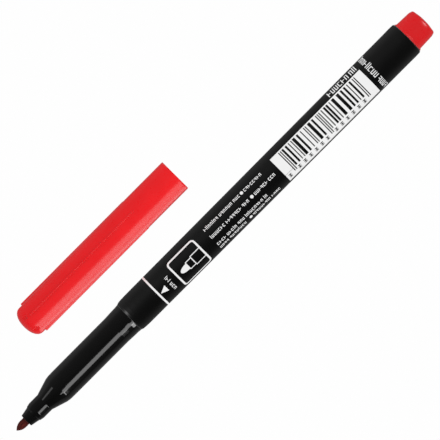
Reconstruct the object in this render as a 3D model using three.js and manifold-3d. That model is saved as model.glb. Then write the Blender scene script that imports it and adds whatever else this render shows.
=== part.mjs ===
// A slim fibre-tip marker with its cap off, lying on a table with the cap beside it.
//
// Frame, in millimetres: +X runs along the pen from the writing tip to the rear plug, +Y points
// from the pen to its cap, and +Z points up. The table is the plane z = 0, and the origin is the
// middle of the whole outline at table height.
//
// Each turned piece is drawn as an outline of [distance, radius] pairs. The distance is measured
// from the writing tip on a pen piece, and from the closed end on a cap piece.

import * as THREE from 'three';
import { mergeVertices } from 'three/addons/utils/BufferGeometryUtils.js';
import Module from 'manifold-3d';

// ---- Driving dimensions ------------------------------------------------------------------

const SIDES = 32; // flats around every turned piece
const ROUND_STEPS = 6; // steps along each rounded edge

// Pen: distances along the axis from the writing tip
const PEN_LENGTH = 135.2;
const COLLAR_FACE = 3.27;
const COLLAR_REAR = 5.45;
const SEAT_FRONT = 5.85;
const SEAT_REAR = 9.4;
const CONE_REAR = 13.0;
const GRIP_FRONT = 18.0;
const GRIP_REAR = 33.3;
const SNAP_FRONT = 35.2;
const SHOULDER = 37.3;
const BARREL_FRONT = 37.4;
const BARREL_EDGE_REAR = 39.6; // the barrel's rounded front edge ends here
const LIP_FRONT = 126.8;
const BARREL_REAR = 129.3;
const PLUG_FLANGE = 129.4;
const PLUG_NECK = 130.05;
const NOSE_BORE_REAR = 11.2; // behind it the nib's bore widens into a chamber
const CHAMBER_FRONT = 14.0;
const NIB_REAR = 27.0;
const RESERVOIR_FRONT = 22.0;
const RESERVOIR_REAR = 117.6;
const SPIGOT_REAR = 48.5;
const SKIRT_FRONT = 117.9;
const COUNTERBORE_FRONT = 117.5;
const PLUG_END_WALL = 133.4;

// Pen: radii
const NIB_RADIUS = 1.0;
const COLLAR_FACE_RADIUS = 1.6;
const COLLAR_REAR_RADIUS = 2.04;
const SEAT_RADIUS = 2.42;
const CONE_REAR_RADIUS = 3.54;
const GRIP_RADIUS = 3.83;
const SNAP_RADIUS = 3.97;
const BARREL_EDGE_RADIUS = 4.03; // at the very front, before the rounded edge
const BARREL_FRONT_RADIUS = 4.38;
const BARREL_BACK_RADIUS = 4.54;
const LIP_RADIUS = 4.58;
const BARREL_BORE = 3.42;
const SPIGOT_RADIUS = 3.38;
const CHAMBER_RADIUS = 3.05;
const WRAP_RADIUS = 2.96;
const WRAP_BORE = 2.87;
const CORE_RADIUS = 2.84;
const COUNTERBORE_RADIUS = 3.6;
const SKIRT_RADIUS = 3.55;
const PLUG_BORE = 2.7;
const NIB_CLEARANCE = 0.06;
const LEAD_IN = 0.15; // how far a pushed-in end narrows, over a short lead
const LEAD_IN_LENGTH = 0.4;

// Nib point: the radius grows to full over this length, along a power curve
const NIB_POINT_LENGTH = 2.2;
const NIB_POINT_POWER = 2.5;

// Plug end: a rounded corner, then a shallow crown out to the pen's full length
const PLUG_NECK_RADIUS = 4.02;
const PLUG_CORNER_START = 133.7;
const PLUG_CORNER_END = 134.95;
const CROWN_HEIGHT = 0.06;
const PLUG_END_RADIUS = 3.8;
const CROWN_RADIUS = 2.4;

// Cap: distances from its closed end, and radii
const CAP_LENGTH = 50.1;
const CAP_DOME_DEPTH = 2.5;
const CAP_DOME_RADIUS = 4.03;
const CAP_MOUTH_RADIUS = 4.31;
const CAP_COLLAR_START = 38.0;
const CAP_MOUTH_BORE = 4.02;
const CAP_MOUTH_BORE_FRONT = 46.0;
const CAP_GRIP_BORE = 3.91;
const CAP_GRIP_BORE_REAR = 45.6;
const CAP_GRIP_BORE_FRONT = 26.0;
const CAP_SEAL_BORE = 3.2;
const CAP_SEAL_BORE_REAR = 23.5;
const CAP_END_WALL = 4.2;
const SEAL_FRONT = 4.5;
const SEAL_REAR = 22.2;
const SEAL_RADIUS = 3.15;
const SEAL_CHAMBER = 2.7;
const SEAL_LIP = 2.47;
const SEAL_LIP_LENGTH = 2.0;
const SEAL_FLARE = 0.27; // how far the seal's entry opens out
const SEAL_WALL = 1.0; // at its closed end

// Cap ribs: four thin straight ribs, turned with the cap as it lies
const RIB_COUNT = 4;
const RIB_TURN = THREE.MathUtils.degToRad(13); // first rib, from straight up towards +Y
const RIB_START = 3.15;
const RIB_END = 36.8;
const RIB_RUN_OUT = 0.8;
const RIB_ROOT = 3.97;
const RIB_TOP = 4.48;
const RIB_WIDTH = 0.65;

// Where the cap lies, from the pen's axis and from the writing tip
const CAP_OFFSET = 15.82;
const CAP_CLOSED_END = 18.4;

// The lowest rib's corner holds the cap up, and the rib on the far side sets its half width
const CAP_HALF_WIDTH = RIB_TOP * Math.cos(RIB_TURN) + (RIB_WIDTH / 2) * Math.sin(RIB_TURN);

const PEN_X = -PEN_LENGTH / 2;
const PEN_Y = -(CAP_OFFSET + CAP_HALF_WIDTH - LIP_RADIUS) / 2;

// ---- Materials ---------------------------------------------------------------------------

const material = (color, roughness) =>
  new THREE.MeshStandardMaterial({ color, roughness, metalness: 0 });

const MATERIALS = {
  barrel: material(0x161616, 0.45),
  nose: material(0x101010, 0.22),
  nib: material(0x5c221f, 0.85),
  fibre: material(0xa82a34, 0.95),
  film: material(0xe6e0dc, 0.35),
  red: material(0xdc1e28, 0.3),
  seal: material(0xc8bcb4, 0.5),
};

// ---- Shape helpers -----------------------------------------------------------------------

// An elliptical edge from one [distance, radius] to another: the first leg leaves along the
// radius when outward is true, and along the axis when it is false. The ends are included.
function roundEdge([d0, r0], [d1, r1], outward) {
  const edge = [];
  for (let i = 0; i <= ROUND_STEPS; i++) {
    const angle = (i / ROUND_STEPS) * (Math.PI / 2);
    const early = Math.sin(angle);
    const late = 1 - Math.cos(angle);
    const along = outward ? late : early;
    const across = outward ? early : late;
    edge.push([d0 + (d1 - d0) * along, r0 + (r1 - r0) * across]);
  }
  return edge;
}

// A turned solid about the X axis. The flats lie at the outline's radius, one of them facing
// straight down, so neighbours on one axis keep their radial clearance all round.
function turned(outline) {
  const halfFlat = Math.PI / SIDES;
  const toCorner = 1 / Math.cos(halfFlat);
  const points = outline.map(([distance, radius]) => new THREE.Vector2(radius * toCorner, distance));
  return new THREE.LatheGeometry(points, SIDES, halfFlat).rotateZ(-Math.PI / 2);
}

// A tube's outline: along the outside, back along the inside, and closed on its first point.
const closedLoop = (outside, inside) => [...outside, ...inside, outside[0]];

const wasm = await Module();
wasm.setup();

function toSolid(geometry) {
  const bare = geometry.clone();
  bare.deleteAttribute('normal');
  bare.deleteAttribute('uv');
  const merged = mergeVertices(bare, 1e-5);
  const corners = merged.index.array;
  const triangles = [];
  for (let i = 0; i < corners.length; i += 3) {
    const [a, b, c] = corners.slice(i, i + 3);
    // a turned outline that starts on the axis leaves triangles with no area there
    if (a !== b && b !== c && c !== a) {
      triangles.push(a, b, c);
    }
  }
  const vertProperties = new Float32Array(merged.attributes.position.array);
  const triVerts = new Uint32Array(triangles);
  return new wasm.Manifold(new wasm.Mesh({ numProp: 3, vertProperties, triVerts }));
}

function toGeometry(solid) {
  const { vertProperties, triVerts } = solid.getMesh();
  const geometry = new THREE.BufferGeometry();
  geometry.setAttribute('position', new THREE.BufferAttribute(vertProperties, 3));
  geometry.setIndex(new THREE.BufferAttribute(triVerts, 1));
  geometry.computeVertexNormals();
  return geometry;
}

function piece(name, geometry, look) {
  const mesh = new THREE.Mesh(geometry, look);
  mesh.name = name;
  return mesh;
}

// ---- Pen pieces --------------------------------------------------------------------------

// Fibre rod: a pointed bullet in front, pushed through the nose into the reservoir
function nib() {
  const point = [];
  for (let i = 0; i < ROUND_STEPS; i++) {
    const distance = (i / ROUND_STEPS) * NIB_POINT_LENGTH;
    const left = 1 - distance / NIB_POINT_LENGTH;
    point.push([distance, NIB_RADIUS * (1 - left ** NIB_POINT_POWER)]);
  }
  return turned([...point, [NIB_POINT_LENGTH, NIB_RADIUS], [NIB_REAR, NIB_RADIUS], [NIB_REAR, 0]]);
}

// Front moulding: tapered collar, seal seat, cone, grip, snap ring, and a spigot in the barrel
function noseSection() {
  const nibBore = NIB_RADIUS + NIB_CLEARANCE;
  const outside = [
    [COLLAR_FACE, COLLAR_FACE_RADIUS - 0.08],
    [COLLAR_FACE + 0.08, COLLAR_FACE_RADIUS],
    [COLLAR_REAR, COLLAR_REAR_RADIUS],
    [COLLAR_REAR + 0.15, SEAT_RADIUS - 0.13],
    [SEAT_FRONT, SEAT_RADIUS],
    [SEAT_REAR, SEAT_RADIUS],
    [CONE_REAR, CONE_REAR_RADIUS],
    [CONE_REAR + 0.8, GRIP_RADIUS - 0.12],
    [CONE_REAR + 2.2, GRIP_RADIUS - 0.04],
    [GRIP_FRONT, GRIP_RADIUS],
    [GRIP_REAR, GRIP_RADIUS + 0.03],
    [SNAP_FRONT, SNAP_RADIUS],
    [SHOULDER, SNAP_RADIUS],
    [SHOULDER, SPIGOT_RADIUS],
    [SPIGOT_REAR - LEAD_IN_LENGTH, SPIGOT_RADIUS],
    [SPIGOT_REAR, SPIGOT_RADIUS - LEAD_IN],
  ];
  const inside = [
    [SPIGOT_REAR, CHAMBER_RADIUS],
    [CHAMBER_FRONT, CHAMBER_RADIUS],
    [NOSE_BORE_REAR, nibBore],
    [COLLAR_FACE, nibBore],
  ];
  return turned(closedLoop(outside, inside));
}

// Ink store: a bundle of fibres with a blind hole for the nib
function inkReservoir() {
  const nibBore = NIB_RADIUS + NIB_CLEARANCE;
  const holeEnd = NIB_REAR + 0.4;
  return turned([
    [holeEnd, 0],
    [holeEnd, nibBore],
    [RESERVOIR_FRONT, nibBore],
    [RESERVOIR_FRONT, CORE_RADIUS],
    [RESERVOIR_REAR, CORE_RADIUS],
    [RESERVOIR_REAR, 0],
  ]);
}

// Plastic film around the fibres
function reservoirWrap() {
  const outside = [
    [RESERVOIR_FRONT, WRAP_RADIUS],
    [RESERVOIR_REAR, WRAP_RADIUS],
  ];
  const inside = [
    [RESERVOIR_REAR, WRAP_BORE],
    [RESERVOIR_FRONT, WRAP_BORE],
  ];
  return turned(closedLoop(outside, inside));
}

// Long tapered tube, open at both ends, with a low lip at the rear that it rests on
function barrel() {
  const outside = [
    ...roundEdge(
      [BARREL_FRONT, BARREL_EDGE_RADIUS],
      [BARREL_EDGE_REAR, BARREL_FRONT_RADIUS],
      true,
    ),
    [LIP_FRONT, BARREL_BACK_RADIUS],
    [LIP_FRONT + 0.6, LIP_RADIUS],
    [BARREL_REAR - 0.3, LIP_RADIUS],
    [BARREL_REAR, LIP_RADIUS - 0.12],
  ];
  const inside = [
    [BARREL_REAR, COUNTERBORE_RADIUS],
    [COUNTERBORE_FRONT, COUNTERBORE_RADIUS],
    [COUNTERBORE_FRONT, BARREL_BORE],
    [BARREL_FRONT, BARREL_BORE],
  ];
  return turned(closedLoop(outside, inside));
}

// Closed plug: a skirt inside the barrel that stops the reservoir, a flange, and a crowned end
function rearPlug() {
  return turned([
    [PLUG_END_WALL, 0],
    [PLUG_END_WALL, PLUG_BORE],
    [SKIRT_FRONT, PLUG_BORE],
    [SKIRT_FRONT, SKIRT_RADIUS - LEAD_IN],
    [SKIRT_FRONT + LEAD_IN_LENGTH, SKIRT_RADIUS],
    [PLUG_FLANGE, SKIRT_RADIUS],
    [PLUG_FLANGE, LIP_RADIUS - 0.14],
    [PLUG_NECK, PLUG_NECK_RADIUS],
    ...roundEdge([PLUG_CORNER_START, PLUG_END_RADIUS], [PLUG_CORNER_END, CROWN_RADIUS], false),
    [PEN_LENGTH - CROWN_HEIGHT, CROWN_RADIUS / 2],
    [PEN_LENGTH, 0],
  ]);
}

// ---- Cap pieces --------------------------------------------------------------------------

function capRib(index) {
  const profile = new THREE.Shape([
    new THREE.Vector2(RIB_START, RIB_ROOT),
    new THREE.Vector2(RIB_END + RIB_RUN_OUT, RIB_ROOT),
    new THREE.Vector2(RIB_END + RIB_RUN_OUT, CAP_MOUTH_RADIUS - 0.05),
    new THREE.Vector2(RIB_END, RIB_TOP),
    new THREE.Vector2(RIB_START, RIB_TOP),
  ]);
  const turn = RIB_TURN + (index / RIB_COUNT) * 2 * Math.PI;
  return new THREE.ExtrudeGeometry(profile, { depth: RIB_WIDTH, bevelEnabled: false })
    .translate(0, 0, -RIB_WIDTH / 2)
    .rotateX(Math.PI / 2 - turn);
}

// Cap body: a domed, slightly tapered sleeve with four ribs, stepped inside to suit the nose
function capShell() {
  const outside = [
    ...roundEdge([0, 0], [CAP_DOME_DEPTH, CAP_DOME_RADIUS], true),
    [CAP_COLLAR_START, CAP_MOUTH_RADIUS],
    [CAP_LENGTH - 0.15, CAP_MOUTH_RADIUS],
    [CAP_LENGTH, CAP_MOUTH_RADIUS - 0.12],
  ];
  const inside = [
    [CAP_LENGTH, CAP_MOUTH_BORE + 0.08],
    [CAP_LENGTH - 0.3, CAP_MOUTH_BORE],
    [CAP_MOUTH_BORE_FRONT, CAP_MOUTH_BORE],
    [CAP_GRIP_BORE_REAR, CAP_GRIP_BORE],
    [CAP_GRIP_BORE_FRONT, CAP_GRIP_BORE],
    [CAP_SEAL_BORE_REAR, CAP_SEAL_BORE],
    [CAP_END_WALL, CAP_SEAL_BORE],
    [CAP_END_WALL, 0],
  ];
  let shell = toSolid(turned([...outside, ...inside]));
  for (let i = 0; i < RIB_COUNT; i++) {
    shell = shell.add(toSolid(capRib(i)));
  }
  return toGeometry(shell);
}

// Inner cap: a cup whose lip closes on the nose's seal seat and keeps the nib from drying
function capInnerSeal() {
  const lipEntry = SEAL_REAR - LEAD_IN_LENGTH;
  return turned([
    [SEAL_FRONT, 0],
    [SEAL_FRONT, SEAL_RADIUS - LEAD_IN],
    [SEAL_FRONT + LEAD_IN_LENGTH, SEAL_RADIUS],
    [SEAL_REAR, SEAL_RADIUS],
    [SEAL_REAR, SEAL_LIP + SEAL_FLARE],
    [lipEntry, SEAL_LIP],
    [lipEntry - SEAL_LIP_LENGTH, SEAL_LIP],
    [lipEntry - SEAL_LIP_LENGTH - 0.6, SEAL_CHAMBER],
    [SEAL_FRONT + SEAL_WALL, SEAL_CHAMBER],
    [SEAL_FRONT + SEAL_WALL, 0],
  ]);
}

// ---- Assembly ----------------------------------------------------------------------------

const pen = new THREE.Group();
pen.position.set(PEN_X, PEN_Y, LIP_RADIUS);
pen.add(
  piece('barrel', barrel(), MATERIALS.barrel),
  piece('nose_section', noseSection(), MATERIALS.nose),
  piece('nib', nib(), MATERIALS.nib),
  piece('ink_reservoir', inkReservoir(), MATERIALS.fibre),
  piece('reservoir_wrap', reservoirWrap(), MATERIALS.film),
  piece('rear_plug', rearPlug(), MATERIALS.red),
);

const cap = new THREE.Group();
cap.position.set(PEN_X + CAP_CLOSED_END, PEN_Y + CAP_OFFSET, CAP_HALF_WIDTH);
cap.add(
  piece('cap_shell', capShell(), MATERIALS.red),
  piece('cap_inner_seal', capInnerSeal(), MATERIALS.seal),
);

const marker = new THREE.Group();
marker.add(pen, cap);

export default marker;
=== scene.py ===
"""A slim fibre-tip marker with its cap off and lying beside it.

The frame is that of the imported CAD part, in metres: +X runs along the pen from the writing tip
to the rear plug, +Y from the pen to its cap, and +Z up from the table.

Outlines are lists of (distance, radius) in millimetres. The distance is measured from the
writing tip on the pen's pieces, and from the closed end on the cap's. A third number, where
there is one, is the radius that rounds that corner. Angles go round a piece in degrees, from
straight up and positive towards -Y.
"""

import math

import bmesh
import bpy
from mathutils import Matrix, Vector


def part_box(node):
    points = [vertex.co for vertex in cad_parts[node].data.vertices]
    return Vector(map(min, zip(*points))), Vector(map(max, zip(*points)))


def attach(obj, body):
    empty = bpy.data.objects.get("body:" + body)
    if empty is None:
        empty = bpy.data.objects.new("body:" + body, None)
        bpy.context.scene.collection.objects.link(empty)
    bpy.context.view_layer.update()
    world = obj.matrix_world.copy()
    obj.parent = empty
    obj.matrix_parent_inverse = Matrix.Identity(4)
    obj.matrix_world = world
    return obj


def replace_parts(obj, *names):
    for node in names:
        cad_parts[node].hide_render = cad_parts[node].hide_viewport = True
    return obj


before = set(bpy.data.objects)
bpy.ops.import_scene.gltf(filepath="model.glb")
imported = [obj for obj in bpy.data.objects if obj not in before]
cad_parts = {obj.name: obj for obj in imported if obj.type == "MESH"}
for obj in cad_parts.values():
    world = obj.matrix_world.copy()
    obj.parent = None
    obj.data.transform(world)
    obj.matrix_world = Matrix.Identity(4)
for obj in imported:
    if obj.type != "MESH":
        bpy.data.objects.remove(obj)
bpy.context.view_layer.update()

MM = 0.001

# ---- Dimensions in millimetres -------------------------------------------------------------

PEN_LENGTH = 135.2
SEGMENTS = 128  # sides round a turned piece
ARC_STEP = 12  # degrees along a rounded corner
EDGE_MARGIN = 0.15  # loop beside each corner, so that shading stays flat between corners
SHARP_ANGLE = 35  # degrees; a sharper edge is shaded as an edge

# Nib: a bonded fibre rod with a bullet point
NIB_RADIUS = 1.0
NIB_POINT = 2.3
NIB_POWER = 2.4
NIB_REAR = 27.0
NIB_HOLE_GAP = 0.04  # round the nib in the ink reservoir

# Nose section
COLLAR_FACE = 3.27
SEAT_RADIUS = 2.41
GRIP_RADIUS = 3.83
SNAP_RADIUS = 3.95
SHOULDER = 37.38
NIB_BORE = 1.03
NIB_BORE_REAR = 11.2
CHAMBER_RADIUS = 3.05
CHAMBER_FRONT = 14.0
SPIGOT_RADIUS = 3.38
SPIGOT_REAR = 48.5

# Barrel
BARREL_FRONT = 37.4
BARREL_REAR = 129.35
BARREL_FRONT_RADIUS = 4.37
BARREL_BACK_RADIUS = 4.53
BARREL_TAPER_START = 40.5
BARREL_TAPER_END = 126.0
BARREL_BORE = 3.42
PLUG_SEAT_BORE = 3.6  # the wider rear part of the bore
PLUG_SEAT_FRONT = 117.5

# Rear plug
PLUG_BORE = 2.7
PLUG_SKIRT_RADIUS = 3.55
PLUG_SKIRT_FRONT = 117.9
PLUG_FLANGE_FRONT = 129.45
PLUG_FLOOR = 133.2

# Reservoir
RESERVOIR_FRONT = 22.0
RESERVOIR_REAR = 117.6
FIBRE_RADIUS = 2.82
FILM_RADIUS = 2.96
FILM_THICKNESS = 0.08
FIBRE_GROOVES = 24
GROOVE_DEPTH = 0.1
FIBRE_CHAMFER = 0.15

# Cap
CAP_LENGTH = 50.1
CAP_DOME_DEPTH = 2.4
CAP_DOME_POWER = 2.2  # a little squarer than an ellipse
CAP_DOME_RADIUS = 3.96
CAP_MOUTH_RADIUS = 4.31
CAP_TAPER_END = 38.0
CAP_MOUTH_BORE = 4.01
CAP_MOUTH_BORE_END = 46.0
CAP_GRIP_BORE = 3.91
CAP_GRIP_BORE_START = 45.6
CAP_GRIP_BORE_END = 26.0
CAP_SEAL_BORE = 3.2
CAP_SEAL_BORE_START = 23.5
CAP_FLOOR = 4.2
RIB_FLANKS = ((-13, 0.1), (77, 0.65), (167, 0.1), (257, 0.65))  # angle, width of each flank
RIB_START = 3.15
RIB_END = 36.8
RIB_RUN_OUT = 0.8
RIB_TOP = 4.48
RIB_CREST = 0.2
FLANK_COLUMNS = 6  # mesh columns down each flank of a rib
VENT_FIRST_ANGLE = -20
VENT_COUNT = 6
VENT_DISTANCE = 1.75
VENT_DEPTH = 0.3
VENT_HALF_LENGTH = 0.6
VENT_HALF_ANGLE = 8

# Cap's inner seal
SEAL_BACK = 4.5
SEAL_MOUTH = 22.2
SEAL_OUTER_RADIUS = 3.15
SEAL_CHAMBER = 2.7
SEAL_LIP = 2.47
SEAL_FLOOR = 5.5


# ---- Shape helpers -------------------------------------------------------------------------


class Axis:
    """The centre line of a piece, lying along X."""

    def __init__(self, start, middle):
        self.start = start
        self.middle = middle

    def point(self, distance, radius, angle):
        turn = math.radians(angle)
        return Vector(
            (
                self.start + distance * MM,
                self.middle.y - radius * MM * math.sin(turn),
                self.middle.z + radius * MM * math.cos(turn),
            )
        )


def box_middle(node):
    low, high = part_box(node)
    return (low + high) / 2


PEN = Axis(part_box("nib")[0].x, box_middle("barrel"))
CAP = Axis(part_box("cap_shell")[0].x, box_middle("cap_shell"))


def corner_arc(before, corner, after, rounding):
    """Points of the arc that rounds a corner between two straight runs."""
    leg_in = (before - corner).normalized()
    leg_out = (after - corner).normalized()
    opening = leg_in.angle(leg_out)
    reach = rounding / math.tan(opening / 2)
    reach = min(reach, 0.45 * (before - corner).length, 0.45 * (after - corner).length)
    radius = reach * math.tan(opening / 2)
    middle = corner + (leg_in + leg_out).normalized() * (radius / math.sin(opening / 2))
    start = corner + leg_in * reach - middle
    turn = start.angle_signed(corner + leg_out * reach - middle)
    steps = max(2, math.ceil(abs(math.degrees(turn)) / ARC_STEP))
    arc = []
    for i in range(steps + 1):
        part = -turn * i / steps
        x = start.x * math.cos(part) - start.y * math.sin(part)
        y = start.x * math.sin(part) + start.y * math.cos(part)
        arc.append(middle + Vector((x, y)))
    return arc


def rounded(outline):
    """The outline with its corners rounded and a loop beside each corner."""
    points = [Vector(entry[:2]) for entry in outline]
    closed = points[0] == points[-1]
    course = []
    for i, entry in enumerate(outline):
        ends = i in (0, len(outline) - 1)
        if len(entry) < 3 or (ends and not closed):
            course.append(points[i])
        elif i == len(outline) - 1:
            course.append(course[0].copy())
        else:
            before = points[-2] if i == 0 else points[i - 1]
            course.extend(corner_arc(before, points[i], points[i + 1], entry[2]))
    if closed and len(outline[0]) == 3:
        course.append(course[0].copy())
    return with_margins(course)


def with_margins(course):
    """Adds a point near both ends of each long run."""
    result = [course[0]]
    for a, b in zip(course, course[1:]):
        length = (b - a).length
        if length < 1e-6:
            continue
        if length > 4 * EDGE_MARGIN:
            result.append(a.lerp(b, EDGE_MARGIN / length))
            result.append(b.lerp(a, EDGE_MARGIN / length))
        result.append(b)
    return result


def make_piece(name, verts, faces, material, body):
    """A mesh object made of those vertices and faces, riding on a body."""
    mesh = bpy.data.meshes.new(name)
    mesh.from_pydata(verts, [], faces)
    work = bmesh.new()
    work.from_mesh(mesh)
    bmesh.ops.remove_doubles(work, verts=work.verts, dist=1e-9)
    bmesh.ops.recalc_face_normals(work, faces=work.faces)
    for face in work.faces:
        face.smooth = True
    work.to_mesh(mesh)
    work.free()
    mesh.set_sharp_from_angle(angle=math.radians(SHARP_ANGLE))
    mesh.materials.append(material)
    piece = bpy.data.objects.new(name, mesh)
    bpy.context.scene.collection.objects.link(piece)
    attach(piece, body)
    return piece


def wound_surface(axis, rows, angles):
    """Closed surface through rows of (distance, [radius at each angle]); a radius of None is a
    row that has shrunk to a point on the axis."""
    verts = []
    faces = []
    rings = []
    for distance, radii in rows:
        first = len(verts)
        if radii is None:
            verts.append(axis.point(distance, 0, 0))
            rings.append([first])
        else:
            for angle, radius in zip(angles, radii):
                verts.append(axis.point(distance, radius, angle))
            rings.append(list(range(first, len(verts))))
    for ring, following in zip(rings, rings[1:]):
        count = max(len(ring), len(following))
        if count == 1:
            continue
        for k in range(count):
            j = (k + 1) % count
            if len(ring) == 1:
                faces.append((ring[0], following[j], following[k]))
            elif len(following) == 1:
                faces.append((ring[k], ring[j], following[0]))
            else:
                faces.append((ring[k], ring[j], following[j], following[k]))
    return verts, faces


def turned(axis, outline):
    """A rounded outline turned about the axis."""
    angles = [360 * k / SEGMENTS for k in range(SEGMENTS)]
    rows = []
    for distance, radius in rounded(outline):
        rows.append((distance, None if radius < 1e-6 else [radius] * SEGMENTS))
    return wound_surface(axis, rows, angles)


# ---- Materials -----------------------------------------------------------------------------

MOTTLE_SCALE = 220  # scales of the noise in colour, polish, relief and fibres
POLISH_SCALE = 900
RELIEF_SCALE = 4000
STRAND_SCALE = 5000
STRAND_STRETCH = (0.12, 1, 1)  # long strands along X
POLISH_SPREAD = 0.03  # how far the roughness strays either way
RELIEF_DEPTH = 0.000004  # metres
STRAND_DEPTH = 0.00003
GLOW_RADIUS = (1.0, 0.12, 0.12)  # how far red, green and blue spread under a surface
GLOW_SCALE = 0.0006


def principled(name):
    material = bpy.data.materials.new(name)
    material.use_nodes = True
    return material, material.node_tree.nodes["Principled BSDF"]


def noise(tree, scale, detail=2.0, stretch=(1, 1, 1)):
    """Noise fixed to the piece, stretched along the axes."""
    place = tree.nodes.new("ShaderNodeTexCoord")
    mapping = tree.nodes.new("ShaderNodeMapping")
    mapping.inputs["Scale"].default_value = stretch
    texture = tree.nodes.new("ShaderNodeTexNoise")
    texture.inputs["Scale"].default_value = scale
    texture.inputs["Detail"].default_value = detail
    tree.links.new(place.outputs["Object"], mapping.inputs["Vector"])
    tree.links.new(mapping.outputs["Vector"], texture.inputs["Vector"])
    return texture.outputs["Fac"]


def vary(tree, source, low, high, target):
    """Drives a socket between two values with a noise."""
    spread = tree.nodes.new("ShaderNodeMapRange")
    spread.inputs["To Min"].default_value = low
    spread.inputs["To Max"].default_value = high
    tree.links.new(source, spread.inputs["Value"])
    tree.links.new(spread.outputs["Result"], target)


def tint(tree, source, dark, light, target):
    """Drives a colour socket between two colours with a noise."""
    ramp = tree.nodes.new("ShaderNodeValToRGB")
    ramp.color_ramp.elements[0].position = 0.3
    ramp.color_ramp.elements[0].color = (*dark, 1)
    ramp.color_ramp.elements[1].position = 0.7
    ramp.color_ramp.elements[1].color = (*light, 1)
    tree.links.new(source, ramp.inputs["Fac"])
    tree.links.new(ramp.outputs["Color"], target)


def grain(tree, source, strength, depth, shader):
    """Fine surface relief, depth in metres."""
    bump = tree.nodes.new("ShaderNodeBump")
    bump.inputs["Strength"].default_value = strength
    bump.inputs["Distance"].default_value = depth
    tree.links.new(source, bump.inputs["Height"])
    tree.links.new(bump.outputs["Normal"], shader.inputs["Normal"])


def plastic(name, dark, light, roughness, specular, relief=0.2, translucency=0.0):
    """Moulded plastic: slightly uneven colour and polish over a very fine relief."""
    material, shader = principled(name)
    tree = material.node_tree
    smoothest = roughness - POLISH_SPREAD
    roughest = roughness + POLISH_SPREAD
    tint(tree, noise(tree, MOTTLE_SCALE), dark, light, shader.inputs["Base Color"])
    vary(tree, noise(tree, POLISH_SCALE), smoothest, roughest, shader.inputs["Roughness"])
    grain(tree, noise(tree, RELIEF_SCALE), relief, RELIEF_DEPTH, shader)
    shader.inputs["Specular IOR Level"].default_value = specular
    if translucency:
        shader.inputs["Subsurface Weight"].default_value = translucency
        shader.inputs["Subsurface Radius"].default_value = GLOW_RADIUS
        shader.inputs["Subsurface Scale"].default_value = GLOW_SCALE
    return material


def fibre(name, dark, light, specular):
    """Ink-soaked fibres running along the pen."""
    material, shader = principled(name)
    tree = material.node_tree
    strands = noise(tree, STRAND_SCALE, 3.0, STRAND_STRETCH)
    tint(tree, strands, dark, light, shader.inputs["Base Color"])
    grain(tree, strands, 0.6, STRAND_DEPTH, shader)
    shader.inputs["Roughness"].default_value = 0.7
    shader.inputs["Specular IOR Level"].default_value = specular
    return material


BLACK_SATIN = plastic("black_satin", (0.0012,) * 3, (0.0018,) * 3, 0.42, 0.5)
BLACK_GLOSS = plastic("black_gloss", (0.0012,) * 3, (0.0018,) * 3, 0.1, 0.5, relief=0.1)
RED_PLASTIC = plastic(
    "red_plastic", (0.69, 0.0022, 0.0050), (0.73, 0.0036, 0.0068), 0.28, 0.38, relief=0.03
)
SEAL_PLASTIC = plastic(
    "seal_plastic", (0.56, 0.5, 0.44), (0.62, 0.56, 0.5), 0.4, 0.5, translucency=0.3
)
PRINT_INK = plastic("print_ink", (0.87, 0.87, 0.87), (0.91, 0.91, 0.91), 0.55, 0.2)
NIB_FIBRE = fibre("nib_fibre", (0.02, 0.0025, 0.003), (0.10, 0.014, 0.01), 0.1)
INK_FIBRE = fibre("ink_fibre", (0.32, 0.012, 0.02), (0.45, 0.03, 0.04), 0.35)
FILM = plastic("film", (0.74, 0.7, 0.66), (0.8, 0.76, 0.72), 0.25, 0.5)


# ---- Pen pieces ----------------------------------------------------------------------------


def nib():
    outline = []
    steps = 16
    for i in range(steps + 1):
        part = (i / steps) ** 1.6
        left = 1 - part
        outline.append((NIB_POINT * part, NIB_RADIUS * (1 - left**NIB_POWER)))
    outline += [(NIB_REAR, NIB_RADIUS, 0.1), (NIB_REAR, 0)]
    verts, faces = turned(PEN, outline)
    piece = make_piece("nib_rod", verts, faces, NIB_FIBRE, "pen")
    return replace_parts(piece, "nib")


def nose_section():
    outside = [
        (COLLAR_FACE, NIB_BORE, 0.08),
        (COLLAR_FACE, 1.61, 0.12),
        (5.5, 2.05, 0.1),
        (5.7, 2.22, 0.15),
        (6.6, SEAT_RADIUS, 0.6),
        (9.35, SEAT_RADIUS, 0.4),
        (13.25, 3.64, 1.5),
        (14.2, GRIP_RADIUS - 0.055, 3.0),
        (15.4, GRIP_RADIUS - 0.02, 10.0),
        (19.0, GRIP_RADIUS - 0.01, 20.0),
        (33.2, GRIP_RADIUS, 6.0),
        (35.2, SNAP_RADIUS - 0.02, 6.0),
        (36.4, SNAP_RADIUS, 3.0),
        (SHOULDER, SNAP_RADIUS + 0.09, 0.03),
        (SHOULDER, SPIGOT_RADIUS, 0.03),
        (SPIGOT_REAR - 0.4, SPIGOT_RADIUS, 0.3),
        (SPIGOT_REAR, SPIGOT_RADIUS - 0.15, 0.05),
    ]
    inside = [
        (SPIGOT_REAR, CHAMBER_RADIUS, 0.05),
        (CHAMBER_FRONT, CHAMBER_RADIUS, 0.3),
        (NIB_BORE_REAR, NIB_BORE, 0.3),
    ]
    verts, faces = turned(PEN, outside + inside + [outside[0]])
    piece = make_piece("nose_moulding", verts, faces, BLACK_GLOSS, "pen")
    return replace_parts(piece, "nose_section")


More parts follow.
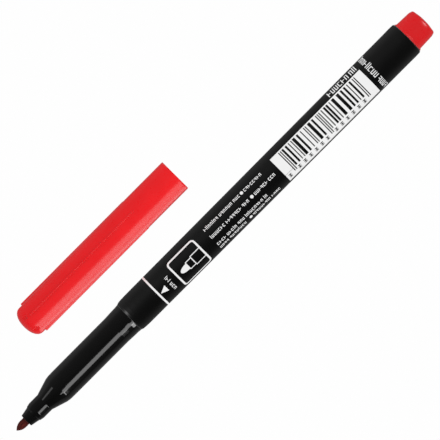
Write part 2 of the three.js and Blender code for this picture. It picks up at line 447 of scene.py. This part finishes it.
def barrel():
    outside = [
        (BARREL_FRONT, BARREL_BORE, 0.05),
        (BARREL_FRONT, 4.05, 0.06),
        (37.95, 4.25, 0.5),
        (38.9, 4.33, 2.0),
        (BARREL_TAPER_START, BARREL_FRONT_RADIUS, 8.0),
        (BARREL_TAPER_END, BARREL_BACK_RADIUS, 8.0),
        (127.8, 4.55, 3.0),
        (129.05, 4.52, 0.5),
        (BARREL_REAR, 4.38, 0.2),
        (BARREL_REAR, PLUG_SEAT_BORE, 0.05),
    ]
    inside = [
        (PLUG_SEAT_FRONT, PLUG_SEAT_BORE, 0.05),
        (PLUG_SEAT_FRONT - 0.2, BARREL_BORE, 0.05),
    ]
    verts, faces = turned(PEN, outside + inside + [outside[0]])
    piece = make_piece("barrel_tube", verts, faces, BLACK_SATIN, "pen")
    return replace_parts(piece, "barrel")


def rear_plug():
    outline = [
        (PLUG_FLOOR, 0),
        (PLUG_FLOOR, PLUG_BORE, 0.5),
        (PLUG_SKIRT_FRONT, PLUG_BORE, 0.1),
        (PLUG_SKIRT_FRONT, PLUG_SKIRT_RADIUS - 0.15, 0.1),
        (PLUG_SKIRT_FRONT + 0.4, PLUG_SKIRT_RADIUS, 0.2),
        (PLUG_FLANGE_FRONT, PLUG_SKIRT_RADIUS, 0.05),
        (PLUG_FLANGE_FRONT, 4.3, 0.06),
        (129.62, 4.18, 0.1),
        (129.95, 3.96, 0.12),
        (133.9, 3.82, 3.0),
        (134.8, 3.5, 0.6),
        (PEN_LENGTH - 0.08, 1.6, 3.0),
        (PEN_LENGTH, 0),
    ]
    verts, faces = turned(PEN, outline)
    piece = make_piece("rear_plug_moulding", verts, faces, RED_PLASTIC, "pen")
    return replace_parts(piece, "rear_plug")


def ink_reservoir():
    """Fibre bundle with shallow grooves along it and a blind hole for the nib."""
    columns = FIBRE_GROOVES * 8
    angles = [360 * k / columns for k in range(columns)]
    grooved = []
    for angle in angles:
        wave = math.cos(math.radians(angle * FIBRE_GROOVES))
        grooved.append(FIBRE_RADIUS - GROOVE_DEPTH / 2 * (1 - wave))
    chamfered = [radius - FIBRE_CHAMFER for radius in grooved]
    hole = [NIB_RADIUS + NIB_HOLE_GAP] * columns
    hole_end = NIB_REAR + 0.3
    rows = [
        (hole_end, None),
        (hole_end, hole),
        (RESERVOIR_FRONT, hole),
        (RESERVOIR_FRONT, chamfered),
        (RESERVOIR_FRONT + FIBRE_CHAMFER, grooved),
        (RESERVOIR_REAR - FIBRE_CHAMFER, grooved),
        (RESERVOIR_REAR, chamfered),
        (RESERVOIR_REAR, None),
    ]
    verts, faces = wound_surface(PEN, rows, angles)
    piece = make_piece("fibre_bundle", verts, faces, INK_FIBRE, "pen")
    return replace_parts(piece, "ink_reservoir")


def reservoir_wrap():
    inner_radius = FILM_RADIUS - FILM_THICKNESS
    outline = [
        (RESERVOIR_FRONT, FILM_RADIUS),
        (RESERVOIR_REAR, FILM_RADIUS),
        (RESERVOIR_REAR, inner_radius),
        (RESERVOIR_FRONT, inner_radius),
        (RESERVOIR_FRONT, FILM_RADIUS),
    ]
    verts, faces = turned(PEN, outline)
    piece = make_piece("film_wrap", verts, faces, FILM, "pen")
    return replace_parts(piece, "reservoir_wrap")


# ---- Cap pieces ----------------------------------------------------------------------------


def smooth_step(x):
    x = min(1.0, max(0.0, x))
    return x * x * (3 - 2 * x)


def vent_angles():
    return [VENT_FIRST_ANGLE + 360 * i / VENT_COUNT for i in range(VENT_COUNT)]


def angle_gap(a, b):
    return (a - b + 180) % 360 - 180


def rib_share(angle):
    """1 on the crest of a rib, 0 beside it."""
    share = 0.0
    for rib, flank in RIB_FLANKS:
        offset = math.radians(abs(angle_gap(angle, rib))) * CAP_MOUTH_RADIUS
        share = max(share, 1 - smooth_step((offset - RIB_CREST / 2) / flank))
    return share


def vent_share(distance, angle):
    """1 in the middle of a vent pocket, 0 outside it."""
    along = (distance - VENT_DISTANCE) / VENT_HALF_LENGTH
    arc = min(abs(angle_gap(angle, vent)) for vent in vent_angles())
    across = arc / VENT_HALF_ANGLE
    away = max(abs(along), across)
    return 1 - smooth_step((away - 0.55) / 0.45)


def cap_angles():
    """Even steps, with extra columns down the flanks of each rib."""
    angles = {round(360 * k / SEGMENTS, 4) for k in range(SEGMENTS)}
    crest = math.degrees(RIB_CREST / 2 / CAP_MOUTH_RADIUS)
    for rib, flank in RIB_FLANKS:
        flank_angle = math.degrees(flank / CAP_MOUTH_RADIUS)
        near = {a for a in angles if abs(angle_gap(a, rib)) < crest + flank_angle + 1.2}
        angles -= near
        angles.add(round(rib % 360, 4))
        for side in (-1, 1):
            for k in range(-1, FLANK_COLUMNS + 2):
                offset = crest + flank_angle * k / FLANK_COLUMNS
                angles.add(round((rib + side * offset) % 360, 4))
    return sorted(angles)


def cap_body_radius(distance):
    """Radius of the cap's body, without ribs or pockets."""
    if distance < CAP_DOME_DEPTH:
        left = 1 - distance / CAP_DOME_DEPTH
        return CAP_DOME_RADIUS * (1 - left**CAP_DOME_POWER) ** (1 / CAP_DOME_POWER)
    part = min(1.0, (distance - CAP_DOME_DEPTH) / (CAP_TAPER_END - CAP_DOME_DEPTH))
    return CAP_DOME_RADIUS + (CAP_MOUTH_RADIUS - CAP_DOME_RADIUS) * part


def rib_height(distance):
    """How much of the rib's height there is at that distance."""
    start = smooth_step((distance - RIB_START + 0.06) / 0.12)
    finish = 1 - min(1.0, max(0.0, (distance - RIB_END) / RIB_RUN_OUT))
    return start * finish


def cap_outside_distances():
    """Where the outside has a row of points: close together on the dome and at the rib ends."""
    dome_steps = 26
    distances = []
    for i in range(1, dome_steps):
        distances.append(CAP_DOME_DEPTH * (1 - math.cos(math.pi / 2 * i / dome_steps)))
    distances += [CAP_DOME_DEPTH, 2.8, RIB_START - 0.12, RIB_START - 0.06, RIB_START - 0.02]
    distances += [RIB_START + 0.02, RIB_START + 0.06, RIB_START + 0.15, RIB_START + 0.4]
    distances += [12.0, 24.0, RIB_END - 0.2, RIB_END, RIB_END + 0.3, RIB_END + RIB_RUN_OUT]
    distances += [CAP_TAPER_END + 0.4, CAP_LENGTH - 0.4, CAP_LENGTH - 0.2]
    return distances


def cap_shell():
    angles = cap_angles()
    rows = [(0.0, None)]
    for distance in cap_outside_distances():
        body = cap_body_radius(distance)
        height = rib_height(distance)
        radii = []
        for angle in angles:
            radius = body + height * rib_share(angle) * (RIB_TOP - body)
            if distance < RIB_START - 0.2:
                radius -= VENT_DEPTH * vent_share(distance, angle)
            radii.append(radius)
        rows.append((distance, radii))
    rim_and_inside = [
        (CAP_LENGTH - 0.08, CAP_MOUTH_RADIUS - 0.03),
        (CAP_LENGTH - 0.02, CAP_MOUTH_RADIUS - 0.09),
        (CAP_LENGTH, CAP_MOUTH_RADIUS - 0.16),
        (CAP_LENGTH, CAP_MOUTH_BORE + 0.07),
        (CAP_LENGTH - 0.08, CAP_MOUTH_BORE + 0.02),
        (CAP_LENGTH - 0.3, CAP_MOUTH_BORE),
        (CAP_MOUTH_BORE_END + 0.2, CAP_MOUTH_BORE),
        (CAP_MOUTH_BORE_END, CAP_MOUTH_BORE),
        (CAP_GRIP_BORE_START, CAP_GRIP_BORE),
        (CAP_GRIP_BORE_START - 0.2, CAP_GRIP_BORE),
        (CAP_GRIP_BORE_END + 0.2, CAP_GRIP_BORE),
        (CAP_GRIP_BORE_END, CAP_GRIP_BORE),
        (CAP_SEAL_BORE_START, CAP_SEAL_BORE),
        (CAP_SEAL_BORE_START - 0.2, CAP_SEAL_BORE),
        (CAP_FLOOR + 0.6, CAP_SEAL_BORE),
        (CAP_FLOOR + 0.2, CAP_SEAL_BORE - 0.1),
        (CAP_FLOOR, CAP_SEAL_BORE - 0.4),
    ]
    for distance, radius in rim_and_inside:
        rows.append((distance, [radius] * len(angles)))
    rows.append((CAP_FLOOR, None))
    verts, faces = wound_surface(CAP, rows, angles)
    piece = make_piece("cap_moulding", verts, faces, RED_PLASTIC, "cap")
    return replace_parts(piece, "cap_shell")


def cap_inner_seal():
    outline = [
        (SEAL_BACK, 0),
        (SEAL_BACK, SEAL_OUTER_RADIUS, 0.3),
        (SEAL_MOUTH, SEAL_OUTER_RADIUS, 0.1),
        (SEAL_MOUTH, SEAL_LIP + 0.18, 0.05),
        (SEAL_MOUTH - 0.4, SEAL_LIP, 0.2),
        (SEAL_MOUTH - 2.4, SEAL_LIP, 0.3),
        (SEAL_MOUTH - 3.0, SEAL_CHAMBER, 0.2),
        (SEAL_FLOOR, SEAL_CHAMBER, 0.4),
        (SEAL_FLOOR, 0),
    ]
    verts, faces = turned(CAP, outline)
    piece = make_piece("inner_seal_cup", verts, faces, SEAL_PLASTIC, "cap")
    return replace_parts(piece, "cap_inner_seal")


# ---- Printing on the barrel ----------------------------------------------------------------

INK_SINK = 0.010  # how far the ink's underside lies under the barrel's surface
INK_RISE = 0.012
PRINT_STEP = 3.0  # degrees of barrel that one flat of the print may span

# Distances in millimetres from the writing tip, and angles in degrees
RING_START = 45.85
RING_END = 46.32
POINTER_ANGLE = 18
POINTER_TIP = 46.58
POINTER_BASE = 48.49
POINTER_HALF_WIDTH = 0.85
ICON_START = 51.93
ICON_END = 60.76
ICON_LOW = -36.3
ICON_HIGH = 70.2
ICON_CORNER = 1.05
ICON_LINE = 0.46
ICON_TIP_START = 53.29
ICON_TIP_END = 55.6
ICON_TIP_HALF_WIDTH = 0.82
ICON_TIP_STRIPS = 8  # side by side, so that each follows the barrel
ICON_BOXES = ((55.51, 57.45, 1.1), (57.3, 60.5, 1.37))  # start, end and half width
ICON_BOX_CORNER = 0.12
ICON_BOX_LINE = 0.2
ROWS_START = 64.0
ROWS_HEIGHT = 0.72
BULLET_RADIUS = 0.42
CODE_START = 86.5
CODE_END = 116.15
CODE_LOW = -36.5
CODE_BARS_START = 88.93
CODE_BARS_END = 114.0
CODE_MODULES = 95
CODE_MODULE = (CODE_BARS_END - CODE_BARS_START) / CODE_MODULES
CODE_MARK_WIDTH = 0.85
LETTER_GAP = 0.13
WORD_GAP = 0.35
SHORTEST_WORD = 3  # in marks
WORD_LENGTHS = 7  # how many lengths a word can have
MARK_KINDS = 6  # the last is a single stem


def barrel_radius(distance):
    part = (distance - BARREL_TAPER_START) / (BARREL_TAPER_END - BARREL_TAPER_START)
    part = min(1.0, max(0.0, part))
    return BARREL_FRONT_RADIUS + (BARREL_BACK_RADIUS - BARREL_FRONT_RADIUS) * part


class Print:
    """Thin closed slabs of ink that follow the barrel. Places are (distance, angle)."""

    def __init__(self):
        self.verts = []
        self.faces = []

    def slab(self, pairs, closed=False):
        """A band of ink between a left and a right edge, given as pairs of places."""
        first = len(self.verts)
        for pair in pairs:
            for distance, angle in pair:
                radius = barrel_radius(distance)
                self.verts.append(PEN.point(distance, radius - INK_SINK, angle))
                self.verts.append(PEN.point(distance, radius + INK_RISE, angle))
        count = len(pairs)
        links = count if closed else count - 1
        for i in range(links):
            a = first + 4 * i
            b = first + 4 * ((i + 1) % count)
            for low, high in ((0, 1), (1, 3), (3, 2), (2, 0)):
                self.faces.append((a + low, a + high, b + high, b + low))
        if not closed:
            last = first + 4 * (count - 1)
            self.faces.append((first, first + 1, first + 3, first + 2))
            self.faces.append((last, last + 1, last + 3, last + 2))

    def panel(self, start, end, low_angle, high_angle):
        """A rectangle of ink."""
        steps = max(1, math.ceil(abs(high_angle - low_angle) / PRINT_STEP))
        pairs = []
        for i in range(steps + 1):
            angle = low_angle + (high_angle - low_angle) * i / steps
            pairs.append(((start, angle), (end, angle)))
        self.slab(pairs)

    def dot(self, distance, angle, radius):
        """A round spot of ink."""
        per_degree = math.radians(barrel_radius(distance))
        steps = 12
        pairs = []
        for i in range(steps + 1):
            turn = math.pi * i / steps
            half = max(0.02, math.sin(turn)) * radius
            place = angle - math.cos(turn) * radius / per_degree
            pairs.append(((distance - half, place), (distance + half, place)))
        self.slab(pairs)

    def frame(self, start, end, low_angle, high_angle, corner, line):
        """The outline of a rectangle with rounded corners."""
        per_degree = math.radians(barrel_radius((start + end) / 2))
        middle = Vector(((start + end) / 2, (low_angle + high_angle) / 2))
        half = Vector(((end - start) / 2, (high_angle - low_angle) / 2 * per_degree))
        pairs = []
        for inner, outer in zip(
            rounded_box(half - Vector((line, line)), max(corner - line, 0.01)),
            rounded_box(half, corner),
        ):
            pair = []
            for across in (inner, outer):
                pair.append((middle.x + across.x, middle.y + across.y / per_degree))
            pairs.append(tuple(pair))
        self.slab(pairs, closed=True)

    def make(self, name):
        return make_piece(name, self.verts, self.faces, PRINT_INK, "pen")


def rounded_box(half, corner):
    """Points round a rectangle with rounded corners and subdivided sides."""
    quadrants = ((1, 1), (-1, 1), (-1, -1), (1, -1))
    arc_steps = 6
    side_steps = 16

    def on_corner(quadrant, angle):
        sign_x, sign_y = quadrants[quadrant % 4]
        middle = Vector((sign_x * (half.x - corner), sign_y * (half.y - corner)))
        turn = math.radians(angle)
        return middle + corner * Vector((math.cos(turn), math.sin(turn)))

    points = []
    for quadrant in range(4):
        for i in range(arc_steps + 1):
            points.append(on_corner(quadrant, 90 * quadrant + 90 * i / arc_steps))
        start = points[-1].copy()
        target = on_corner(quadrant + 1, 90 * (quadrant + 1))
        for i in range(1, side_steps):
            points.append(start.lerp(target, i / side_steps))
    return points


class Sequence:
    """A repeatable run of small whole numbers, for marks that only have to look varied."""

    def __init__(self, seed):
        self.state = seed

    def below(self, limit):
        self.state = (self.state * 1103515245 + 12345) % 2**31
        return (self.state >> 12) % limit


def mark_strokes(kind, height):
    """Strokes of one nonsense mark, as (left, right, bottom, top) in millimetres."""
    stroke = 0.1 + 0.07 * height
    wide = 0.3 + 0.3 * height
    right = wide - stroke
    top = height - stroke
    middle = (height - stroke) / 2
    shapes = (
        [(0, stroke, 0, height), (right, wide, 0, height), (stroke, right, top, height)],
        [(0, wide, 0, stroke), (0, wide, top, height), (0, stroke, stroke, top)],
        [(0, stroke, 0, height), (stroke, wide, middle, middle + stroke)],
        [(0, wide, top, height), (right, wide, 0, top), (0, right, middle, middle + stroke)],
        [(0, stroke, 0, height), (right, wide, 0, height), (stroke, right, 0, stroke)],
        [(0, stroke, 0, height * 1.3)],
    )
    return shapes[kind], (stroke if kind == MARK_KINDS - 1 else wide)


def nonsense_row(ink, place, length, height, seed, gaps=()):
    """A row of marks that looks like small print but spells nothing. The place function turns
    a position along and up the row into a distance and an angle."""
    pick = Sequence(seed)
    x = 0.0
    marks = 0
    next_break = SHORTEST_WORD + pick.below(WORD_LENGTHS)
    while x < length - WORD_GAP:
        if any(start - 0.5 < x < end for start, end in gaps):
            x += 0.1
            continue
        strokes, wide = mark_strokes(pick.below(MARK_KINDS), height)
        for left, right, bottom, top in strokes:
            start, low_angle = place(x + left, bottom)
            end, high_angle = place(x + right, top)
            ink.panel(start, end, low_angle, high_angle)
        x += wide + LETTER_GAP + 0.1 * height
        marks += 1
        if marks == next_break:
            x += WORD_GAP
            marks = 0
            next_break = SHORTEST_WORD + pick.below(WORD_LENGTHS)


def along_barrel(start, base_angle):
    """Rows that run towards the rear, with their tops towards +Y."""

    def place(x, y):
        return start + x, base_angle - math.degrees(y / barrel_radius(start))

    return place


def round_barrel(distance, start_angle):
    """Rows that run round the barrel towards -Y, with their tops towards the rear."""

    def place(x, y):
        return distance + y, start_angle + math.degrees(x / barrel_radius(distance))

    return place


def print_ring():
    ink = Print()
    pairs = []
    for k in range(SEGMENTS):
        angle = 360 * k / SEGMENTS
        pairs.append(((RING_START, angle), (RING_END, angle)))
    ink.slab(pairs, closed=True)
    return ink.make("print_ring")


def print_pointer():
    """A small triangle that points at the ring, and a nonsense word behind it."""
    ink = Print()
    per_degree = math.radians(barrel_radius(POINTER_BASE))
    slope = POINTER_BASE - POINTER_TIP - 0.02
    steps = 10
    pairs = []
    for i in range(steps + 1):
        across = -1 + 2 * i / steps
        start = POINTER_TIP + slope * abs(across)
        angle = POINTER_ANGLE + across * POINTER_HALF_WIDTH / per_degree
        pairs.append(((start, angle), (POINTER_BASE, angle)))
    ink.slab(pairs)
    nonsense_row(ink, round_barrel(49.55, -8), length=4.1, height=0.75, seed=11)
    return ink.make("print_pointer")


def print_icon():
    """A framed picture of a marker's tip: a filled bullet shape and two boxes behind it."""
    ink = Print()
    ink.frame(ICON_START, ICON_END, ICON_LOW, ICON_HIGH, ICON_CORNER, ICON_LINE)
    centre = (ICON_LOW + ICON_HIGH) / 2 + 0.25
    per_degree = math.radians(barrel_radius(ICON_START))
    steps = 12
    for k in range(ICON_TIP_STRIPS):
        left = -1 + 2 * k / ICON_TIP_STRIPS
        right = -1 + 2 * (k + 1) / ICON_TIP_STRIPS
        pairs = []
        for i in range(steps + 1):
            part = i / steps
            bulge = math.sqrt(max(0.001, 1 - (1 - part) ** 2.2))
            half = ICON_TIP_HALF_WIDTH * bulge / per_degree
            place = ICON_TIP_START + (ICON_TIP_END - ICON_TIP_START) * part
            pairs.append(((place, centre + half * left), (place, centre + half * right)))
        ink.slab(pairs)
    for start, end, half_width in ICON_BOXES:
        reach = half_width / per_degree
        low = centre - reach
        high = centre + reach
        ink.frame(start, end, low, high, ICON_BOX_CORNER, ICON_BOX_LINE)
    return ink.make("print_icon")


def print_rows():
    """Four rows of small print, three of them with a round bullet."""
    ink = Print()
    rows = (  # angle of the row's middle, its end, its bullet and its seed
        (-25.3, 83.1, 76.4, 3),
        (5.5, 85.3, 77.5, 29),
        (36.0, 80.3, None, 41),
        (54.4, 84.0, 74.1, 77),
    )
    half_row = math.degrees(0.38 / barrel_radius(ROWS_START))
    for angle, end, bullet, seed in rows:
        gaps = []
        if bullet:
            ink.dot(bullet, angle, BULLET_RADIUS)
            middle = bullet - ROWS_START
            gaps.append((middle - 0.75, middle + 0.75))
        place = along_barrel(ROWS_START, angle + half_row)
        nonsense_row(ink, place, end - ROWS_START, ROWS_HEIGHT, seed, gaps)
    return ink.make("print_rows")


def code_bars():
    """Start and end of each dark bar in modules: guards, and a made-up pattern between them."""
    pick = Sequence(5)
    guards = [(0, 1), (2, 3), (46, 47), (48, 49), (92, 93), (94, 95)]
    bars = []
    for low, high in ((4, 45), (50, 91)):
        at = low
        while at < high - 1:
            width = 1 + (pick.below(10) > 5) + (pick.below(10) > 6) + (pick.below(10) > 7)
            width = min(width, high - at)
            bars.append((at, at + width))
            at += width + 1 + (pick.below(10) > 4) + (pick.below(10) > 7)
    return guards, bars


def print_code():
    """A pale panel with unprinted gaps for the bars and for a row of plain marks below them."""
    ink = Print()
    guards, bars = code_bars()

    def at(module):
        return CODE_BARS_START + CODE_MODULE * module

    def band(low, high, gaps):
        start = CODE_START
        for left, right in sorted(gaps):
            ink.panel(start, left, low, high)
            start = right
        ink.panel(start, CODE_END, low, high)

    guard_gaps = [(at(a), at(b)) for a, b in guards]
    bar_gaps = guard_gaps + [(at(a), at(b)) for a, b in bars]
    marks = [CODE_START + 0.55]
    for first in (6, 52):
        marks += [at(first + 7 * i) - 0.42 for i in range(6)]
    strokes = [(x, x + CODE_MARK_WIDTH) for x in marks]
    stems = [(x + 0.3, x + 0.55) for x in marks]
    bands = (  # where each band ends, in degrees round the barrel, and its gaps
        (-32, []),
        (35, bar_gaps),
        (39.5, guard_gaps),
        (41.5, guard_gaps),
        (44.5, guard_gaps + strokes),
        (48.5, guard_gaps + stems),
        (51.5, strokes),
        (54.5, stems),
        (57.0, strokes),
        (68.0, []),
    )
    low = CODE_LOW
    for high, gaps in bands:
        band(low, high, gaps)
        low = high
    return ink.make("print_code")


def print_side_rows():
    """A short row beside the panel, and one that runs round the barrel behind it."""
    ink = Print()
    nonsense_row(ink, along_barrel(106.7, -43), length=9.3, height=1.75, seed=19)
    nonsense_row(ink, round_barrel(117.35, -72), length=11.3, height=1.35, seed=57)
    return ink.make("print_side_rows")


# ---- Build ---------------------------------------------------------------------------------

pen_pieces = [
    nib(),
    nose_section(),
    barrel(),
    rear_plug(),
    ink_reservoir(),
    reservoir_wrap(),
    print_ring(),
    print_pointer(),
    print_icon(),
    print_rows(),
    print_code(),
    print_side_rows(),
]
cap_pieces = [cap_shell(), cap_inner_seal()]


# ---- Table, surroundings and lights --------------------------------------------------------

WHITE_LEVEL = 0.992
SURROUND_RADIUS = 4.0
PANEL_DISTANCE = 0.8
ALONG_X = Vector((1, 0, 0))


def emitter(name, strength):
    material = bpy.data.materials.new(name)
    material.use_nodes = True
    tree = material.node_tree
    tree.nodes.clear()
    output = tree.nodes.new("ShaderNodeOutputMaterial")
    glow = tree.nodes.new("ShaderNodeEmission")
    glow.inputs["Strength"].default_value = strength
    tree.links.new(glow.outputs["Emission"], output.inputs["Surface"])
    material.cycles.emission_sampling = "NONE"  # even light is found without being aimed at
    return material, glow


def white_table():
    """A lit white table that shows no shadow."""
    mesh = bpy.data.meshes.new("table")
    half = SURROUND_RADIUS
    corners = [(-half, -half, 0), (half, -half, 0), (half, half, 0), (-half, half, 0)]
    mesh.from_pydata(corners, [], [(0, 1, 2, 3)])
    table = bpy.data.objects.new("table", mesh)
    bpy.context.scene.collection.objects.link(table)
    material, _ = emitter("table_white", WHITE_LEVEL)
    mesh.materials.append(material)
    table.visible_glossy = False
    table.visible_shadow = False


ROOM_LEVELS = (  # angle and brightness
    (-180, 0.25),
    (-135, 0.22),
    (-115, 0.28),
    (-100, 0.34),
    (-86, 0.27),
    (-72, 0.18),
    (-52, 0.15),
    (-25, 0.12),
    (0, 0.095),
    (25, 0.06),
    (60, 0.06),
    (88, 0.07),
    (95, 0.2),
    (115, 0.22),
    (137, 0.27),
    (180, 0.25),
)


def reflected_room():
    """A dome that only reflections see. Its brightness goes by the angle round the X axis, from
    straight up and positive towards -Y: dark overhead, paler near and below the table's level."""
    mesh = bpy.data.meshes.new("reflected_room")
    work = bmesh.new()
    bmesh.ops.create_uvsphere(work, u_segments=48, v_segments=24, radius=SURROUND_RADIUS * 0.9)
    work.to_mesh(mesh)
    work.free()
    room = bpy.data.objects.new("reflected_room", mesh)
    bpy.context.scene.collection.objects.link(room)
    material, glow = emitter("room_light", 1.0)
    tree = material.node_tree
    place = tree.nodes.new("ShaderNodeTexCoord")
    split = tree.nodes.new("ShaderNodeSeparateXYZ")
    turn = tree.nodes.new("ShaderNodeMath")
    turn.operation = "ARCTAN2"
    spread = tree.nodes.new("ShaderNodeMapRange")
    spread.inputs["From Min"].default_value = math.pi
    spread.inputs["From Max"].default_value = -math.pi
    ramp = tree.nodes.new("ShaderNodeValToRGB")
    stops = ramp.color_ramp.elements
    for angle, level in ROOM_LEVELS:
        position = (angle + 180) / 360
        if angle == -180:
            stop = stops[0]
        elif angle == 180:
            stop = stops[-1]
        else:
            stop = stops.new(position)
        stop.position = position
        stop.color = (level, level, level, 1)
    tree.links.new(place.outputs["Object"], split.inputs["Vector"])
    tree.links.new(split.outputs["Y"], turn.inputs[0])
    tree.links.new(split.outputs["Z"], turn.inputs[1])
    tree.links.new(turn.outputs["Value"], spread.inputs["Value"])
    tree.links.new(spread.outputs["Result"], ramp.inputs["Fac"])
    tree.links.new(ramp.outputs["Color"], glow.inputs["Color"])
    mesh.materials.append(material)
    room.visible_camera = False
    room.visible_diffuse = False
    room.visible_shadow = False
    room.visible_transmission = False


def even_world():
    """Even white light from all round, left out of reflections."""
    world = bpy.data.worlds.new("even_light")
    bpy.context.scene.world = world
    world.use_nodes = True
    background = world.node_tree.nodes["Background"]
    background.inputs["Color"].default_value = (1, 1, 1, 1)
    background.inputs["Strength"].default_value = WHITE_LEVEL
    world.cycles_visibility.glossy = False
    world.cycles.sampling_method = "NONE"


def panel_light(name, aim, angle, spread, reach, radiance, pieces, sheen=True, fill=False):
    """A light beside the pieces that only they see. Its middle is at that angle round the X
    axis, it covers a spread of degrees, and it reaches that far along X on either side. With
    sheen it shows in reflections, and with fill it lights the colour of a surface."""
    turn = math.radians(angle)
    back = Vector((0, -math.sin(turn), math.cos(turn)))
    width = 2 * PANEL_DISTANCE * math.tan(math.radians(spread / 2))
    position = aim + back * PANEL_DISTANCE
    size = (2 * reach, width)
    rectangle_light(name, position, aim, ALONG_X, size, radiance, pieces, sheen, fill)


def rectangle_light(name, position, aim, along, size, radiance, pieces, sheen=True, fill=False):
    """A rectangular light that faces the aim, with its first side along the given direction.
    The other arguments are those of panel_light."""
    light = bpy.data.lights.new(name, "AREA")
    light.shape = "RECTANGLE"
    light.size = size[0]
    light.size_y = size[1]
    light.energy = radiance * math.pi * size[0] * size[1]
    holder = bpy.data.objects.new(name, light)
    bpy.context.scene.collection.objects.link(holder)
    back = (position - aim).normalized()
    first_side = (along - back * along.dot(back)).normalized()
    second_side = back.cross(first_side)
    facing = Matrix((first_side, second_side, back)).transposed()
    holder.matrix_world = Matrix.Translation(position) @ facing.to_4x4()
    holder.visible_camera = False
    holder.visible_diffuse = fill
    holder.visible_glossy = sheen
    group = bpy.data.collections.new(name + "_pieces")
    for piece in pieces:
        group.objects.link(piece)
    holder.light_linking.receiver_collection = group
    holder.light_linking.blocker_collection = group


def pieces_called(name):
    return [piece for piece in pen_pieces if piece.name == name]


white_table()
reflected_room()
even_world()

pen_centre = Vector((0, PEN.middle.y, PEN.middle.z))
cap_centre = Vector((0, CAP.middle.y, CAP.middle.z))
nib_pieces = pieces_called("nib_rod")
nose_pieces = pieces_called("nose_moulding")
barrel_pieces = pieces_called("barrel_tube")
plug_pieces = pieces_called("rear_plug_moulding")

pen_lights = (  # name, place beside the pen, direction of the first side, size, radiance, pieces
    ("nose_strip", (0.085, -0.31, 0.591), (-1, -1, 0), (0.9, 0.25), 3.8, nose_pieces),
    ("shoulder_light", (-0.19, -0.79, 0.416), (0, 0.466, 0.885), (0.5, 0.06), 8.0, nose_pieces),
    ("cone_light", (-0.59, 0.504, 0.565), (1, 0, 0), (0.14, 0.22), 1.3, nose_pieces),
    ("barrel_edge_light", (-0.578, 0.433, 0.562), (1, 0, 0), (0.12, 0.12), 60.0, barrel_pieces),
    ("plug_light", (0.7, -0.2, 0.55), (0, 1, 0), (0.5, 0.25), 11.0, plug_pieces),
)
for name, place, along, size, radiance, pieces in pen_lights:
    position = pen_centre + Vector(place)
    rectangle_light(name, position, pen_centre, Vector(along), size, radiance, pieces)
panel_light(
    "nib_fill",
    pen_centre,
    angle=75,
    spread=30,
    reach=0.8,
    radiance=2.5,
    pieces=nib_pieces,
    sheen=False,
    fill=True,
)
cap_mirror = cap_centre - 0.08 * ALONG_X  # under the middle of what the cap reflects
for name, angle, radiance in (("cap_upper_panel", 69, 3.7), ("cap_lower_panel", 111, 2.55)):
    panel_light(
        name,
        cap_mirror,
        angle=angle,
        spread=42,
        reach=0.12,
        radiance=radiance,
        pieces=cap_pieces,
        fill=True,
    )
rectangle_light(
    "cap_mouth_fill",
    cap_centre + Vector((0.02, 0, 0.09)),
    cap_centre,
    ALONG_X,
    size=(0.05, 0.05),
    radiance=2.0,
    pieces=cap_pieces,
    sheen=False,
    fill=True,
)
for piece in cap_pieces + pen_pieces:
    piece.visible_glossy = False  # no piece shows in the gloss of another


# ---- Camera --------------------------------------------------------------------------------

VIEW_WIDTH = 0.10283  # what the picture spans at the height of the pen's axis
CAMERA_HEIGHT = 1.2
LOOK_DISTANCE = 68.42  # along the pen, from the writing tip
LOOK_OFFSET = 0.995  # from the pen's axis towards the cap
PICTURE_TURN = 45.154  # the pen's slope in the picture


def overhead_camera():
    camera = bpy.data.cameras.new("camera")
    camera.type = "PERSP"
    camera.sensor_width = 36
    camera.lens = 36 * (CAMERA_HEIGHT - PEN.middle.z) / VIEW_WIDTH
    camera.clip_start = 0.05
    camera.clip_end = 10
    holder = bpy.data.objects.new("camera", camera)
    bpy.context.scene.collection.objects.link(holder)
    holder.location = (
        PEN.start + LOOK_DISTANCE * MM,
        PEN.middle.y + LOOK_OFFSET * MM,
        CAMERA_HEIGHT,
    )
    holder.rotation_euler = (0, 0, math.radians(-PICTURE_TURN))
    bpy.context.scene.camera = holder


overhead_camera()
bpy.context.scene.view_settings.view_transform = "Standard"
